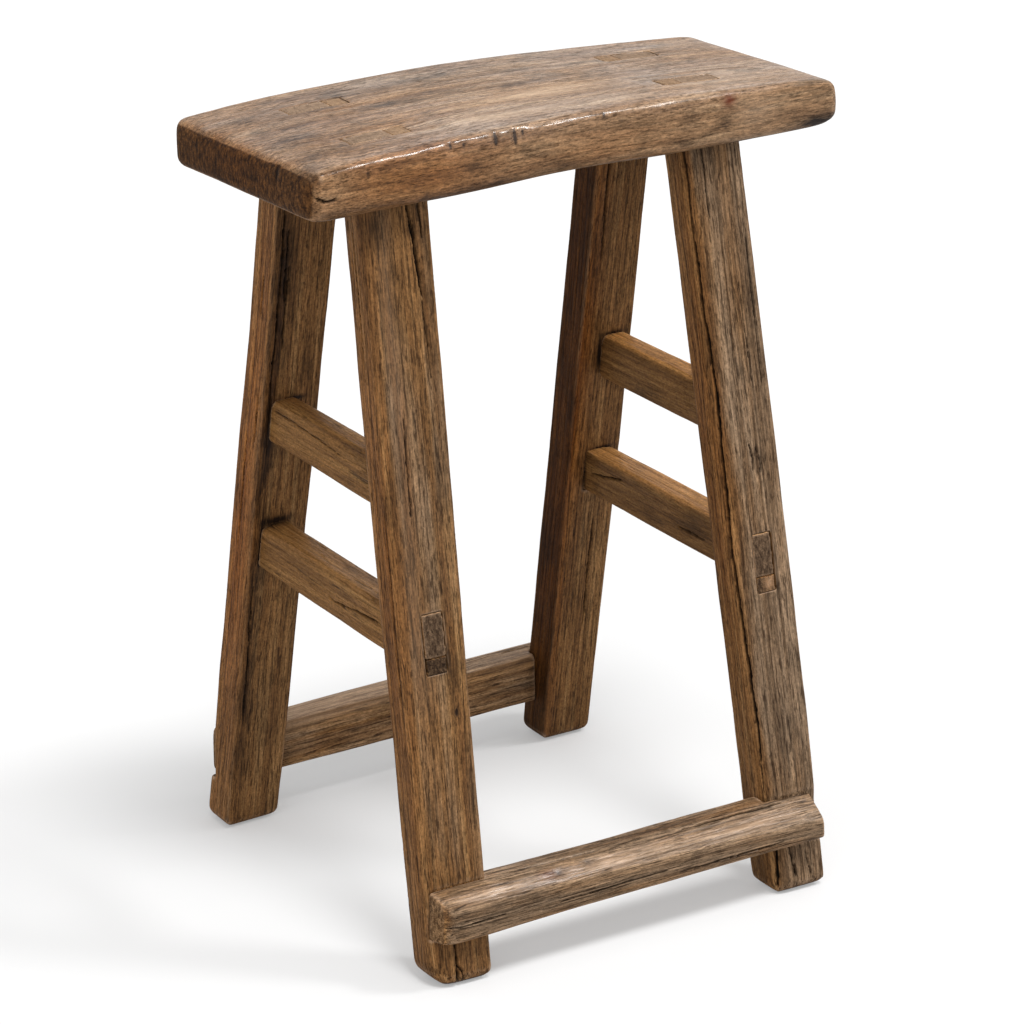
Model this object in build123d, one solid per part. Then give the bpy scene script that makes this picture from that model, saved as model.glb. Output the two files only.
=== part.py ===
"""Rustic elm saddle stool: a crowned slab seat on four legs that splay both ways.

The frame is X along the seat, -Y towards the front and +Z up, with the origin on the floor
under the middle of the seat. Every piece is modelled for the right back quarter and mirrored.
"""
import os
from build123d import *

# Overall sizes
stool_height = 526.0
seat_length = 402.0
seat_depth = 156.0
seat_thickness = 37.0

# Seat slab
seat_crown_rise = 6.4
seat_corner_radius = 10.0
seat_top_edge_radius = 5.0
seat_sole_edge_radius = 8.0

# Legs: centres and sections at the floor and at the shoulder under the seat
foot_centre_x = 129.0
foot_centre_y = 143.5
shoulder_centre_x = 119.0
shoulder_centre_y = 52.0
leg_width_foot = 40.5
leg_width_shoulder = 43.0
leg_depth_foot = 29.5
leg_depth_shoulder = 28.0
leg_arris_radius = 2.5
foot_wear_radius = 9.0
foot_wear_margin = 0.2

# Leg tenon through the seat and the wedge that spreads it
seat_tenon_length = 29.0
seat_tenon_thickness = 14.5
seat_tenon_edge_step = 1.5
seat_wedge_toe = 9.0
seat_wedge_head = 13.5

# Rails that join each front leg to the leg behind it
end_rail_setback = 5.5
end_rail_arris_radius = 4.5
upper_rail_bottom = 295.0
upper_rail_height = 29.0
upper_rail_width = 20.0
lower_rail_bottom = 202.0
lower_rail_height = 32.0
lower_rail_width = 23.0

# Blind tenon of the upper end rail
blind_tenon_width = 11.0
blind_tenon_shoulder = 4.0
blind_tenon_reach = 15.0

# Half-dovetail tenon of the lower end rail, locked by a wedge below it
end_tenon_width = 14.5
end_tenon_step = 9.0
end_tenon_flare = 5.0
end_wedge_heel = 10.0
end_wedge_toe = 5.0

# Long rails lapped over the outer faces of the legs
long_rail_bottom = 33.5
long_rail_height = 33.0
long_rail_cheek = 18.0
long_rail_lap = 10.0
long_rail_overhang = 1.5
long_rail_burnish_radius = 10.0
long_rail_arris_radius = 3.0
lap_seat_depth = 1.0

# Fits
fit_clearance = 0.2
cut_overrun = 8.0

# Heights worked out from the sizes above
seat_underside = stool_height - seat_thickness
long_rail_top = long_rail_bottom + long_rail_height
upper_rail_top = upper_rail_bottom + upper_rail_height
lower_rail_top = lower_rail_bottom + lower_rail_height

SIDES = {"left": -1, "right": 1}
ENDS = {"front": -1, "back": 1}


def along_leg(z: float, at_floor: float, at_shoulder: float) -> float:
    """A size or place that changes evenly from the floor to the shoulder, at height z."""
    return at_floor + (at_shoulder - at_floor) * z / seat_underside


def leg_x(z: float, side: int) -> float:
    """X of a leg's inner (-1) or outer (+1) side face at height z."""
    middle = along_leg(z, foot_centre_x, shoulder_centre_x)
    return middle + side * along_leg(z, leg_width_foot, leg_width_shoulder) / 2


def leg_y(z: float, side: int) -> float:
    """Y of a leg's inner (-1) or outer (+1) broad face at height z."""
    middle = along_leg(z, foot_centre_y, shoulder_centre_y)
    return middle + side * along_leg(z, leg_depth_foot, leg_depth_shoulder) / 2


lap_plane = leg_y(long_rail_top, 1) - lap_seat_depth


def level_rectangle(low_x: float, high_x: float, low_y: float, high_y: float, z: float) -> Sketch:
    """A level rectangle between two X and two Y values at height z."""
    middle = Plane(origin=((low_x + high_x) / 2, (low_y + high_y) / 2, z))
    return middle * Rectangle(high_x - low_x, high_y - low_y)


def side_view_prism(outline: list, low_x: float, high_x: float, sole_radius: float = 0) -> Part:
    """A prism drawn as (Y, Z) points that runs from low_x to high_x, its sole corners rounded."""
    face = Plane.YZ.offset(low_x) * make_face(Polyline(outline, close=True))
    return extrude(round_sole(face, sole_radius), high_x - low_x)


def front_view_prism(outline: list, low_y: float, high_y: float, sole_radius: float = 0) -> Part:
    """A prism drawn as (X, Z) points that runs from low_y to high_y, its sole corners rounded."""
    face = make_face(Polyline([(x, low_y, z) for x, z in outline], close=True))
    return extrude(round_sole(face, sole_radius), high_y - low_y, dir=(0, 1, 0))


def round_sole(face: Sketch, radius: float) -> Sketch:
    """Round the lowest corners of an upright outline, or leave it alone when the radius is zero."""
    if not radius:
        return face
    return fillet(face.vertices().group_by(Axis.Z)[0], radius)


# Seat

def seat_slab() -> Part:
    """The slab before its mortises: flat underneath, crowned along its length, worn round."""
    half = seat_length / 2
    end_top = stool_height - seat_crown_rise
    sole = Line((half, seat_underside), (-half, seat_underside))
    left_end = Line((-half, seat_underside), (-half, end_top))
    crown = ThreePointArc((-half, end_top), (0, stool_height), (half, end_top))
    right_end = Line((half, end_top), (half, seat_underside))
    outline = Plane.XZ * make_face([sole, left_end, crown, right_end])
    slab = extrude(outline, seat_depth / 2, both=True)
    slab = fillet(slab.edges().filter_by(Axis.Z), seat_corner_radius)
    slab = fillet(slab.faces().sort_by(Axis.Z)[-1].edges(), seat_top_edge_radius)
    return fillet(slab.faces().sort_by(Axis.Z)[0].edges(), seat_sole_edge_radius)


def seat_joint_section(z: float, low_x: float, high_x: float, grow: float) -> Sketch:
    """A level section of the leg's joint at height z, between two X values at the shoulder."""
    rise = z - seat_underside
    shift_x = rise * (shoulder_centre_x - foot_centre_x) / seat_underside
    shift_y = rise * (leg_y(seat_underside, -1) - leg_y(0, -1)) / seat_underside
    low_y = leg_y(seat_underside, -1) + shift_y
    return level_rectangle(low_x + shift_x - grow, high_x + shift_x + grow,
                           low_y - grow, low_y + seat_tenon_thickness + grow, z)


def seat_tenon_edges() -> tuple:
    """X of the tenon's inner and outer edges at the shoulder."""
    outer = leg_x(seat_underside, 1) - seat_tenon_edge_step
    return outer - seat_tenon_length, outer


def seat_tenon() -> Part:
    """The bare-faced tenon of a leg, standing up to the crown of the seat."""
    inner, outer = seat_tenon_edges()
    top = stool_height + cut_overrun
    root = seat_joint_section(seat_underside, inner, outer, 0)
    blank = loft([root, seat_joint_section(top, inner, outer, 0)], ruled=True)
    return blank & seat_slab()


def seat_wedge_slope() -> float:
    """How much thicker the seat wedge grows for each unit of height."""
    return (seat_wedge_head - seat_wedge_toe) / seat_thickness


def seat_wedge() -> Part:
    """The wedge between a leg's tenon and the inner end of its mortise, flush with the crown."""
    inner, _ = seat_tenon_edges()
    near = inner - fit_clearance
    top = stool_height + cut_overrun
    head = seat_wedge_toe + seat_wedge_slope() * (top - seat_underside)
    toe_section = seat_joint_section(seat_underside, near - seat_wedge_toe, near, 0)
    head_section = seat_joint_section(top, near - head, near, 0)
    return loft([toe_section, head_section], ruled=True) & seat_slab()


def seat_mortise() -> Part:
    """The slot in the seat for one tenon and its wedge, wider at the top for the wedge."""
    inner, outer = seat_tenon_edges()
    sections = []
    for z in (seat_underside - cut_overrun, stool_height + cut_overrun):
        wedge = seat_wedge_toe + seat_wedge_slope() * (z - seat_underside)
        low_x = inner - wedge - fit_clearance
        sections.append(seat_joint_section(z, low_x, outer, fit_clearance))
    return loft(sections, ruled=True)


def seat() -> Part:
    """The crowned seat with its four through mortises."""
    slab = seat_slab()
    mortise = seat_mortise()
    for side in SIDES.values():
        for end in ENDS.values():
            slab -= to_quarter(mortise, side, end)
    return slab


# Legs

def leg_outline(across, grow: float, top: float) -> list:
    """A leg seen square on up to a height, grown all round; across gives the place of its faces."""
    low, high = -grow, top + grow
    return [(across(low, -1) - grow, low), (across(low, 1) + grow, low),
            (across(high, 1) + grow, high), (across(high, -1) - grow, high)]


def leg_post() -> Part:
    """A leg without joints: it tapers in depth and leans out both ways, with a worn foot."""
    top = seat_underside
    span_y = (leg_y(top, -1) - cut_overrun, leg_y(0, 1) + cut_overrun)
    span_x = (leg_x(top, -1) - cut_overrun, leg_x(0, 1) + cut_overrun)
    post = front_view_prism(leg_outline(leg_x, 0, top), *span_y)
    post &= side_view_prism(leg_outline(leg_y, 0, top), *span_x)
    post = fillet(post.edges().sort_by(SortBy.LENGTH)[-4:], leg_arris_radius)
    worn = foot_wear_radius
    post &= front_view_prism(leg_outline(leg_x, foot_wear_margin, top), *span_y, worn)
    return post & side_view_prism(leg_outline(leg_y, foot_wear_margin, top), *span_x, worn)


def lap_seat() -> Part:
    """The upright notch across a leg's outer face that carries a long rail."""
    top = long_rail_top + fit_clearance
    far = leg_y(0, 1) + cut_overrun
    outline = [(lap_plane, long_rail_bottom), (far, long_rail_bottom), (far, top), (lap_plane, top)]
    return side_view_prism(outline, leg_x(seat_underside, -1) - cut_overrun, leg_x(0, 1) + cut_overrun)


def leg() -> Part:
    """A whole leg: seat tenon above, blind and through mortises, and the seat of the long rail."""
    body = leg_post() + seat_tenon()
    return body - blind_mortise() - end_mortise() - lap_seat()


# End rails

def rail_body(bottom: float, top: float, width: float) -> Part:
    """An end rail from the inner face of one leg to the other, its long edges worn round."""
    low, high = leg_y(bottom, -1), leg_y(top, -1)
    outer = rail_outer_x(bottom, top)
    outline = [(-low, bottom), (low, bottom), (high, top), (-high, top)]
    body = side_view_prism(outline, outer - width, outer)
    return fillet(body.edges().filter_by(Axis.Y), end_rail_arris_radius)


def rail_outer_x(bottom: float, top: float) -> float:
    """X of an end rail's outer face, set back from the outer side of the legs."""
    return leg_x((bottom + top) / 2, 1) - end_rail_setback


def blind_tenon_outline(grow: float, start: float) -> list:
    """Side view of the upper rail's tenon, grown all round and started inside the leg's face."""
    low = upper_rail_bottom + blind_tenon_shoulder - grow
    high = upper_rail_top - blind_tenon_shoulder + grow
    reach = blind_tenon_reach + grow
    near = [(leg_y(high, -1) - start, high), (leg_y(low, -1) - start, low)]
    return [(leg_y(low, -1) + reach, low), (leg_y(high, -1) + reach, high)] + near


def blind_tenon(grow: float, start: float) -> Part:
    """The upper rail's tenon in one leg, or its mortise when grown and started outside."""
    middle = rail_outer_x(upper_rail_bottom, upper_rail_top) - upper_rail_width / 2
    half = blind_tenon_width / 2 + grow
    return side_view_prism(blind_tenon_outline(grow, start), middle - half, middle + half)


def blind_mortise() -> Part:
    """The mortise in a leg's inner face for the upper end rail."""
    return blind_tenon(fit_clearance, cut_overrun)


def upper_end_rail() -> Part:
    """The upper rail with a blind tenon at each end."""
    rail = rail_body(upper_rail_bottom, upper_rail_top, upper_rail_width)
    tenon = blind_tenon(0, cut_overrun)
    return rail + tenon + mirror(tenon, about=Plane.XZ)


def end_tenon_limits() -> tuple:
    """X limits of the lower rail's tenon, on the centre line of the leg."""
    middle = (leg_x(lower_rail_bottom, -1) + leg_x(lower_rail_bottom, 1)) / 2
    return middle - end_tenon_width / 2, middle + end_tenon_width / 2


def end_joint_line(root_z: float, face_z: float, share: float) -> tuple:
    """A point on a joint line: share 0 is at the leg's inner face and share 1 at its outer face."""
    root_y, face_y = leg_y(root_z, -1), leg_y(face_z, 1)
    return root_y + (face_y - root_y) * share, root_z + (face_z - root_z) * share


def end_tenon() -> Part:
    """The lower rail's half-dovetail tenon: level below, rising above, flush with the leg's face."""
    low = lower_rail_bottom + end_tenon_step
    face_top = lower_rail_top + end_tenon_flare
    outline = [
        (leg_y(low, -1) - cut_overrun, low),
        end_joint_line(low, low, 1),
        end_joint_line(lower_rail_top, face_top, 1),
        end_joint_line(lower_rail_top, face_top, 0),
        (leg_y(lower_rail_top, -1) - cut_overrun, lower_rail_top),
    ]
    return side_view_prism(outline, *end_tenon_limits())


def end_wedge() -> Part:
    """The wedge driven under the lower rail's tenon from the outer face of the leg."""
    top = lower_rail_bottom + end_tenon_step - fit_clearance
    toe_z, heel_z = top - end_wedge_toe, top - end_wedge_heel
    toe_y = leg_y(toe_z, -1) + fit_clearance
    outline = [(toe_y, top), (toe_y, toe_z), (leg_y(heel_z, 1), heel_z), (leg_y(top, 1), top)]
    return side_view_prism(outline, *end_tenon_limits())


def end_mortise() -> Part:
    """The through mortise in a leg: it opens upwards for the dovetail and downwards for the wedge."""
    top = lower_rail_bottom + end_tenon_step - fit_clearance
    low_root, low_face = top - end_wedge_toe - fit_clearance, top - end_wedge_heel - fit_clearance
    high_root = lower_rail_top + fit_clearance
    high_face = high_root + end_tenon_flare
    past = cut_overrun / (leg_y(high_root, 1) - leg_y(high_root, -1))
    outline = [
        end_joint_line(low_root, low_face, -past),
        end_joint_line(low_root, low_face, 1 + past),
        end_joint_line(high_root, high_face, 1 + past),
        end_joint_line(high_root, high_face, -past),
    ]
    low_x, high_x = end_tenon_limits()
    return side_view_prism(outline, low_x - fit_clearance, high_x + fit_clearance)


def lower_end_rail() -> Part:
    """The lower rail with a half-dovetail tenon through each leg."""
    rail = rail_body(lower_rail_bottom, lower_rail_top, lower_rail_width)
    tenon = end_tenon()
    return rail + tenon + mirror(tenon, about=Plane.XZ)


# Long rails

def long_rail_outline(side: int, grow: float) -> list:
    """Front view of a long rail, or with side -1 of the stretch between the legs."""
    low = leg_x(long_rail_bottom, side) + grow
    high = leg_x(long_rail_top, side) + grow
    return [(-low, long_rail_bottom), (low, long_rail_bottom), (high, long_rail_top), (-high, long_rail_top)]


def long_rail() -> Part:
    """The back rail: full depth between the legs and a thinner cheek over each leg."""
    outer = lap_plane + long_rail_cheek
    inner = lap_plane - long_rail_lap
    rail = front_view_prism(long_rail_outline(1, long_rail_overhang), lap_plane, outer)
    rail += front_view_prism(long_rail_outline(-1, -fit_clearance), inner, outer)
    outer_edges = rail.edges().filter_by(Axis.X).group_by(Axis.Y)[-1].sort_by(Axis.Z)
    rail = fillet(outer_edges[-1], long_rail_burnish_radius)
    outer_edges = rail.edges().filter_by(Axis.X).sort_by(Axis.Z).group_by(Axis.Z)[0]
    lowest = outer_edges.sort_by(Axis.Y)
    return fillet([lowest[0], lowest[-1]], long_rail_arris_radius)


# Assembly

def to_quarter(piece: Part, side: int, end: int) -> Part:
    """Mirror a right back piece to the side and the end that it belongs to."""
    if side < 0:
        piece = mirror(piece, about=Plane.YZ)
    if end < 0:
        piece = mirror(piece, about=Plane.XZ)
    return piece


def pieces() -> dict:
    """Every piece of the stool by name."""
    made = {"seat": seat()}
    at_corners = {"leg": leg(), "seat_wedge": seat_wedge(), "rail_wedge": end_wedge()}
    at_sides = {"upper_end_rail": upper_end_rail(), "lower_end_rail": lower_end_rail()}
    at_ends = {"long_rail": long_rail()}
    for end_name, end in ENDS.items():
        for name, master in at_ends.items():
            made[f"{name}_{end_name}"] = to_quarter(master, 1, end)
        for side_name, side in SIDES.items():
            for name, master in at_corners.items():
                made[f"{name}_{end_name}_{side_name}"] = to_quarter(master, side, end)
    for side_name, side in SIDES.items():
        for name, master in at_sides.items():
            made[f"{name}_{side_name}"] = to_quarter(master, side, 1)
    return made


os.makedirs("parts", exist_ok=True)
for name, piece in pieces().items():
    export_step(piece, f"parts/{name}.step")
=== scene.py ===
"""Looks of the weathered elm saddle stool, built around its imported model.

Every piece starts as a dense copy of its CAD node, so each joint stays where the CAD puts it. It is
then worn and split along its grain by one Geometry Nodes tree, moved a few millimetres by the
unevenness of hand work, and finished with one of the elm finishes.
"""

import logging
import math
from dataclasses import dataclass, field
from enum import Enum

import bpy
import numpy as np
from mathutils import Matrix, Vector


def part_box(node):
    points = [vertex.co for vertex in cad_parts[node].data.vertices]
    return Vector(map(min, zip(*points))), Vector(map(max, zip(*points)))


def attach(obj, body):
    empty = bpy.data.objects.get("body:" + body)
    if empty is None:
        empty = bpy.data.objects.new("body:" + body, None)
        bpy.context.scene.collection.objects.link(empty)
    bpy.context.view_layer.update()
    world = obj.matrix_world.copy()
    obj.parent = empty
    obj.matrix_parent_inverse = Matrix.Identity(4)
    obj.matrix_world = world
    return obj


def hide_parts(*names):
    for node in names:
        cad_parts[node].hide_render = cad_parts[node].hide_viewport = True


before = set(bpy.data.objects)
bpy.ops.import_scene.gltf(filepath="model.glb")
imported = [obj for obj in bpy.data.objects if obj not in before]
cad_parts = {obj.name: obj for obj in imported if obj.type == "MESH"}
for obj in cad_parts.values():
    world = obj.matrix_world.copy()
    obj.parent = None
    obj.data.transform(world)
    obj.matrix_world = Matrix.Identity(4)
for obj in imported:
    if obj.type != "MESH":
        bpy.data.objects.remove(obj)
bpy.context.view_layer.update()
LOG = logging.getLogger("saddle_stool")

MM = 0.001
SEAT_UNDERSIDE = 0.489
TENON_TOP = 0.520
FLUSH = 0.9 * MM
WHITE = (1.0, 1.0, 1.0, 1.0)


def srgb(red: float, green: float, blue: float) -> tuple:
    """A colour written as 0-255 screen values, as the linear colour of a shader socket.

    Args:
        red, green, blue: The screen values.

    Returns:
        The linear red, green, blue and an alpha of one.
    """
    def linear(level: float) -> float:
        """One channel."""
        level /= 255
        return level / 12.92 if level <= 0.04045 else ((level + 0.055) / 1.055) ** 2.4
    return linear(red), linear(green), linear(blue), 1.0


def ease(value: object, low: float, high: float) -> np.ndarray:
    """A smooth step from 0 to 1 as the value passes from low to high."""
    share = np.clip((value - low) / (high - low), 0, 1)
    return share * share * (3 - 2 * share)


def add_object(name: str, data: bpy.types.ID) -> bpy.types.Object:
    """A new object in the scene."""
    made = bpy.data.objects.new(name, data)
    bpy.context.scene.collection.objects.link(made)
    return made


def read_rows(items: object, key: str) -> np.ndarray:
    """A vector of each item of a mesh, one per row."""
    flat = np.empty(len(items) * 3, np.float32)
    items.foreach_get(key, flat)
    return flat.reshape(-1, 3).astype(float)


def read_places(piece: bpy.types.Object) -> np.ndarray:
    """The points of a piece, one per row."""
    return read_rows(piece.data.vertices, "co")


def write_places(piece: bpy.types.Object, places: np.ndarray) -> None:
    """Put the points of a piece in new places."""
    piece.data.vertices.foreach_set("co", places.astype(np.float32).ravel())
    piece.data.update()


def raise_tenons(places: np.ndarray) -> np.ndarray:
    """Points with the tenons and wedges in the seat brought up to its top."""
    raised = places.copy()
    raised[:, 2] += FLUSH * ease(places[:, 2], SEAT_UNDERSIDE + 8 * MM, TENON_TOP)
    return raised


def store(piece: bpy.types.Object, name: str, values: np.ndarray) -> None:
    """Keep a number or a vector for each point of a piece."""
    kind, key = ("FLOAT_VECTOR", "vector") if values.ndim == 2 else ("FLOAT", "value")
    attribute = piece.data.attributes.new(name, kind, "POINT")
    attribute.data.foreach_set(key, values.astype(np.float32).ravel())


class Wire:
    """One output socket of a node tree, with arithmetic that adds Math nodes."""

    def __init__(self, graph: "Graph", socket: bpy.types.NodeSocket) -> None:
        """Wrap a socket of a graph."""
        self.graph = graph
        self.socket = socket

    def __add__(self, other: object) -> "Wire":
        """Sum."""
        return self.graph.math("ADD", self, other)

    def __sub__(self, other: object) -> "Wire":
        """Difference."""
        return self.graph.math("SUBTRACT", self, other)

    def __rsub__(self, other: object) -> "Wire":
        """Difference with the number first."""
        return self.graph.math("SUBTRACT", other, self)

    def __mul__(self, other: object) -> "Wire":
        """Product."""
        return self.graph.math("MULTIPLY", self, other)

    def __truediv__(self, other: object) -> "Wire":
        """Quotient."""
        return self.graph.math("DIVIDE", self, other)

    __radd__ = __add__
    __rmul__ = __mul__


class Graph:
    """A shader or geometry node tree that is written as expressions."""

    def __init__(self, tree: bpy.types.NodeTree) -> None:
        """Empty the tree and take it over."""
        self.tree = tree
        tree.nodes.clear()

    @classmethod
    def of(cls, owner: bpy.types.ID) -> "Graph":
        """The graph of a material or a world."""
        owner.use_nodes = True
        return cls(owner.node_tree)

    @staticmethod
    def _find(sockets: object, key: object) -> bpy.types.NodeSocket:
        """The socket with that place, identifier or name."""
        if isinstance(key, int):
            return sockets[key]
        for socket in sockets:
            if socket.identifier == key:
                return socket
        return next(s for s in sockets if s.name == key and s.enabled)

    def node(self, kind: str, settings: dict | None = None, inputs: dict | None = None,
             out: object = 0) -> Wire:
        """Add a node.

        Args:
            kind: The node's type.
            settings: Its own settings, set first; "stops" holds a ramp's places and colours.
            inputs: Values or wires by socket place, identifier or name.
            out: The output that is wanted.

        Returns:
            That output.
        """
        made = self.tree.nodes.new(kind)
        for key, value in (settings or {}).items():
            if key == "stops":
                elements = made.color_ramp.elements
                while len(elements) < len(value):
                    elements.new(0.5)
                for element, (place, colour) in zip(elements, value):
                    element.position = place
                    element.color = colour
            else:
                setattr(made, key, value)
        for key, value in (inputs or {}).items():
            socket = self._find(made.inputs, key)
            if isinstance(value, Wire):
                self.tree.links.new(value.socket, socket)
            else:
                socket.default_value = value
        return Wire(self, self._find(made.outputs, out))

    def end(self, kind: str, last: Wire, place: object = "Surface") -> None:
        """Lead the last wire into the tree's output node."""
        self.tree.links.new(last.socket, self.tree.nodes.new(kind).inputs[place])

    def math(self, operation: str, *values: object) -> Wire:
        """A Math node on up to three values."""
        return self.node("ShaderNodeMath", {"operation": operation}, dict(enumerate(values)))

    def vector(self, operation: str, *values: object) -> Wire:
        """A Vector Math node."""
        return self.node("ShaderNodeVectorMath", {"operation": operation},
                         dict(enumerate(values)))

    def dot(self, first: object, second: object) -> Wire:
        """The dot product of two vectors."""
        return self.node("ShaderNodeVectorMath", {"operation": "DOT_PRODUCT"},
                         {0: first, 1: second}, 1)

    def blend(self, factor: object, first: object, second: object, mode: str = "MIX") -> Wire:
        """A mix of two colours."""
        return self.node("ShaderNodeMix", {"data_type": "RGBA", "blend_type": mode},
                         {"Factor_Float": factor, "A_Color": first, "B_Color": second},
                         "Result_Color")

    def noise(self, vector: Wire, scale: float = 1.0, detail: float = 2.0,
              roughness: float = 0.5, distortion: float = 0.0, out: object = 0) -> Wire:
        """A Noise Texture, as its value unless another output is asked for."""
        return self.node("ShaderNodeTexNoise", {}, {
            "Vector": vector, "Scale": scale, "Detail": detail, "Roughness": roughness,
            "Distortion": distortion}, out)

    def grain(self, vector: Wire, scale: tuple, *shape: float) -> Wire:
        """Noise with its own scale on each axis; shape is detail, roughness and distortion."""
        return self.noise(self.vector("MULTIPLY", vector, scale), 1.0, *shape)

    def step(self, value: object, low: float, high: float, to_low: float = 0.0,
             to_high: float = 1.0) -> Wire:
        """A smooth step from to_low to to_high as the value passes from low to high."""
        return self.node("ShaderNodeMapRange", {"interpolation_type": "SMOOTHSTEP"},
                         {"Value": value, "From Min": low, "From Max": high,
                          "To Min": to_low, "To Max": to_high})

    def attribute(self, name: str, out: object = 2) -> Wire:
        """A stored attribute in a shader, as a number unless another output is asked for."""
        return self.node("ShaderNodeAttribute",
                         {"attribute_type": "GEOMETRY", "attribute_name": name}, {}, out)

    def named(self, name: str, kind: str = "FLOAT") -> Wire:
        """A stored attribute in a geometry tree."""
        return self.node("GeometryNodeInputNamedAttribute", {"data_type": kind}, {"Name": name})

    def keep(self, geometry: Wire, name: str, value: Wire) -> Wire:
        """A geometry with a number stored for each of its points."""
        return self.node("GeometryNodeStoreNamedAttribute",
                         {"data_type": "FLOAT", "domain": "POINT"},
                         {"Geometry": geometry, "Name": name, "Value": value})

    def distance(self, target: Wire, element: str) -> Wire:
        """How far each point is from the nearest face or edge of a geometry."""
        return self.node("GeometryNodeProximity", {"target_element": element},
                         {"Target": target}, "Distance")

    def seen(self) -> Wire:
        """One for rays that show a surface: from the camera, mirrored or let through."""
        rays = self.node("ShaderNodeLightPath").socket.node.outputs
        camera, mirrored, through = (
            Wire(self, rays[f"Is {kind} Ray"]) for kind in ("Camera", "Glossy", "Transmission"))
        return self.math("MAXIMUM", self.math("MAXIMUM", camera, mirrored), through)


class Along(Enum):
    """The CAD axis that a piece's grain follows."""

    X = 0
    Y = 1
    Z = 2


class Face(Enum):
    """A side face of a piece, as its outward direction in the CAD frame."""

    LEFT = (-1, 0, 0)
    RIGHT = (1, 0, 0)
    FRONT = (0, -1, 0)
    BACK = (0, 1, 0)
    TOP = (0, 0, 1)
    UNDER = (0, 0, -1)

    @property
    def outward(self) -> np.ndarray:
        """The direction as an array."""
        return np.array(self.value, float)

    @property
    def axis(self) -> int:
        """The CAD axis that the face looks along."""
        return int(np.argmax(np.abs(self.value)))


class Stain(Enum):
    """What a mark on the timber is; the darkest kind is grime, and painted shadow at joints."""

    SMUDGE = "smudge"
    KNOT = "knot"
    PALE = "pale"
    AMBER = "amber"
    WAXED = "waxed"


LEFT, RIGHT, FRONT, BACK, TOP, UNDER = Face
SMUDGE, KNOT, PALE, AMBER, WAXED = Stain


@dataclass(frozen=True)
class Check:
    """A drying split that runs along the grain, in millimetres.

    Args:
        face: The face that it opens on.
        gape: How wide it opens.
        path: Its points: a distance across the face from the piece's centre line, and a place along
            the grain in the CAD frame.
    """

    face: Face
    gape: float
    path: tuple


@dataclass(frozen=True)
class Dent:
    """A nick or a bruise that goes into a face, in millimetres.

    Args:
        face: The face that it is pressed into.
        place, size: Its middle and its radii: two distances across the grain and one along it.
        depth: How deep it goes.
        dirt_and_shade: How dark the bottom is, with grime and painted shadow; 1 is fully dark at
            the middle.
    """

    face: Face
    place: tuple
    size: tuple
    depth: float
    dirt_and_shade: float


@dataclass(frozen=True)
class Mark:
    """A mark, with its place and radii in millimetres: two across the grain and one along it."""

    stain: Stain
    place: tuple
    size: tuple
    strength: float


def listed(kind: type, groups: dict) -> list:
    """Checks, dents or marks from their rows, which are grouped by face or by stain."""
    return [kind(key, *row) for key, rows in groups.items() for row in rows]


@dataclass(frozen=True)
class Shave:
    """A plane that wear or a drawknife has cut an edge back to, in metres in the CAD frame.

    Args:
        origin: A point of the plane.
        outward: The direction that is cut away.
        soft: How gently the cut runs out.
        start, end: The stretch along the grain that it takes.
        fade: How far it takes to run in and out along the grain.
    """

    origin: tuple
    outward: tuple
    soft: float
    start: float = -1.0
    end: float = 1.0
    fade: float = 25 * MM


@dataclass(frozen=True)
class HandBuilt:
    """How far the real legs stand off their even places, in millimetres, at foot and top.

    Each leg is named by the signs of its x and y. The other values are in metres.
    """

    foot: dict = field(default_factory=lambda: {
        (-1, 1): (1.3, -0.3), (-1, -1): (-1.4, 5.9), (1, 1): (3.0, 0.5), (1, -1): (-3.0, -5.7)})
    top: dict = field(default_factory=lambda: {
        (-1, 1): (2.5, 0.1), (-1, -1): (-2.4, -4.2), (1, 1): (2.5, -0.3), (1, -1): (-2.4, 4.0)})
    foot_centre: tuple = (0.129, 0.1435)
    top_centre: tuple = (0.119, 0.052)
    mortise_centre: tuple = (0.116, 0.0396)
    mortise_half: tuple = (0.026, 0.011)
    mortise_fade: float = 0.026

    def move_frame(self, places: np.ndarray) -> np.ndarray:
        """Move points of the legs and rails.

        Args:
            places: Points in the CAD frame, one per row.

        Returns:
            The moved points.
        """
        rise = places[:, 2] / SEAT_UNDERSIDE
        share_x, share_y = (
            places[:, i] / (self.foot_centre[i] * (1 - rise) + self.top_centre[i] * rise)
            for i in (0, 1))
        moved = places.copy()
        for (side, end), foot in self.foot.items():
            weight = (1 + side * share_x) * (1 + end * share_y) / 4
            top = self.top[(side, end)]
            for axis in (0, 1):
                moved[:, axis] += weight * (foot[axis] * (1 - rise) + top[axis] * rise) * MM
        return moved

    def move_seat(self, places: np.ndarray) -> np.ndarray:
        """Move the seat's mortises with the legs, and leave its outline in place."""
        moved = places.copy()
        for corner, top in self.top.items():
            away = [np.abs(places[:, i] - corner[i] * self.mortise_centre[i])
                    - self.mortise_half[i] for i in (0, 1)]
            away = np.hypot(np.maximum(away[0], 0), np.maximum(away[1], 0))
            near = ease(away / self.mortise_fade, 1, 0)
            for axis in (0, 1):
                moved[:, axis] += near * top[axis] * MM
        return moved


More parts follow.
